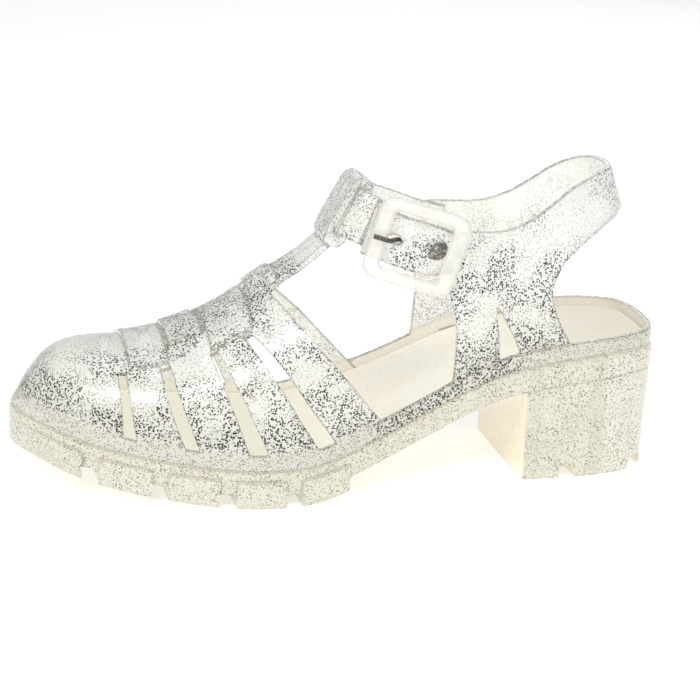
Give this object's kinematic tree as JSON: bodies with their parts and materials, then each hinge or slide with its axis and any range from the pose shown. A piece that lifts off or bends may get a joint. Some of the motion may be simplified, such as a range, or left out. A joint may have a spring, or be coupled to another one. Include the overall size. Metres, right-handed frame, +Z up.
{
  "type": "block heel sandal",
  "caption": "Left closed-toe strap sandal in clear moulded plastic with a woven-look vamp, buckled ankle strap, sling back, cleated sole and block heel.",
  "frame": {"origin": "on the floor under the middle of the shoe's bounding box", "axes": "+X from the toe to the heel, +Y to the arch side away from the buckle, +Z up"},
  "size_m": [0.2394, 0.0894, 0.1144],
  "materials": {
    "outsole": "cloudy cream translucent soft plastic with fine dark specks",
    "insole": "plain warm beige footbed",
    "upper": "clear soft plastic with dark and silver glitter",
    "buckle_frame": "milky translucent hard plastic",
    "buckle_metal": "dark nickel"
  },
  "bodies": {
    "root": {"outsole": "outsole", "insole": "insole", "upper": "upper", "buckle_frame": "buckle_frame", "buckle_prong": "buckle_metal", "rivet": "buckle_metal"}
  },
  "joints": []
}
